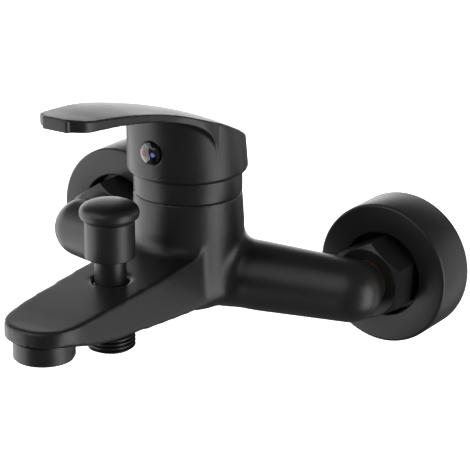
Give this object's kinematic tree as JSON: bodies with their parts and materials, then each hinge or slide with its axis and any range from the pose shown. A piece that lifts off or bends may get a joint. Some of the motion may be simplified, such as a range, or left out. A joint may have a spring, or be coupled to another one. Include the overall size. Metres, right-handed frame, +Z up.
{
  "type": "wall mounted bath faucet",
  "caption": "Wall mounted bath faucet with a flat single lever over a round barrel, swept inlet arms, a flat spout with a pull-up diverter and a threaded hose outlet.",
  "frame": {"origin": "halfway between the two wall inlets' axes, on the finished wall plane", "axes": "+Z up, +X to the object's own left-to-right as seen from the front, +Y into the wall; the faucet stands out towards -Y"},
  "size_m": [0.215, 0.2023, 0.1271],
  "materials": {
    "matte_black": "satin black electroplate and lacquer",
    "brass": "as machined",
    "cartridge_plastic": "moulded acetal",
    "carrier_plastic": "moulded glass-filled nylon",
    "ceramic": "lapped alumina",
    "rubber": "matt",
    "steel": "bright stainless",
    "aerator_plastic": "moulded",
    "plug_gloss": "polished",
    "hot_red": "enamel",
    "cold_blue": "enamel"
  },
  "bodies": {
    "body": {"body_casting": "matte_black", "trim_ring": "matte_black", "cartridge_clamp_nut": "brass", "cartridge_housing": "cartridge_plastic", "cartridge_base": "cartridge_plastic", "cartridge_seals": "rubber", "fixed_ceramic_disc": "ceramic", "carrier_o_ring": "rubber", "diverter_bonnet": "matte_black", "bonnet_o_ring": "rubber", "rod_o_ring": "rubber", "diverter_spring": "steel", "shower_outlet": "matte_black", "aerator_housing": "matte_black", "aerator_insert": "aerator_plastic", "aerator_washer": "rubber", "left_inlet_tail": "brass", "right_inlet_tail": "brass", "left_inlet_washer": "rubber", "right_inlet_washer": "rubber", "left_s_union": "brass", "right_s_union": "brass", "left_escutcheon": "matte_black", "right_escutcheon": "matte_black"},
    "carrier": {"cartridge_carrier": "carrier_plastic", "stem_pin": "steel"},
    "lever": {"lever_stem": "brass", "handle": "matte_black", "handle_grub_screw": "steel", "index_plug": "plug_gloss", "hot_mark": "hot_red", "cold_mark": "cold_blue"},
    "disc": {"disc_driver": "cartridge_plastic", "moving_ceramic_disc": "ceramic"},
    "diverter": {"diverter_piston": "brass", "lower_piston_seal": "rubber", "upper_piston_seal": "rubber"},
    "knob": {"diverter_rod": "brass", "diverter_knob": "matte_black"},
    "left_nut": {"left_union_nut": "matte_black"},
    "right_nut": {"right_union_nut": "matte_black"}
  },
  "joints": [
    {"name": "lever_turn", "type": "hinge", "parent": "body", "child": "carrier", "pos_m": [0, -0.067, 0.042], "axis": [0, 0, 1], "range_deg": [-50, 50]},
    {"name": "lever_lift", "type": "hinge", "parent": "carrier", "child": "lever", "pos_m": [0, -0.067, 0.0488], "axis": [-1, 0, 0], "range_deg": [0, 25]},
    {"name": "disc_slide", "type": "slide", "parent": "carrier", "child": "disc", "axis": [0, -1, 0], "range_m": [0, 0.00509]},
    {"name": "diverter_pull", "type": "slide", "parent": "body", "child": "diverter", "axis": [0, 0, 1], "range_m": [0, 0.007], "stiffness_N_per_m": 120, "springref_m": -0.012, "deforming": ["diverter_spring"]},
    {"name": "knob_spin", "type": "hinge", "parent": "diverter", "child": "knob", "pos_m": [0, -0.125, 0.038], "axis": [0, 0, 1], "continuous": true},
    {"name": "left_nut_spin", "type": "hinge", "parent": "body", "child": "left_nut", "pos_m": [-0.075, -0.027, 0.008], "axis": [0, -1, 0], "continuous": true},
    {"name": "right_nut_spin", "type": "hinge", "parent": "body", "child": "right_nut", "pos_m": [0.075, -0.027, 0.008], "axis": [0, -1, 0], "continuous": true}
  ],
  "couplings": [
    {"joint": "disc_slide", "follows": "lever_lift", "m_per_rad": 0.011623}
  ]
}
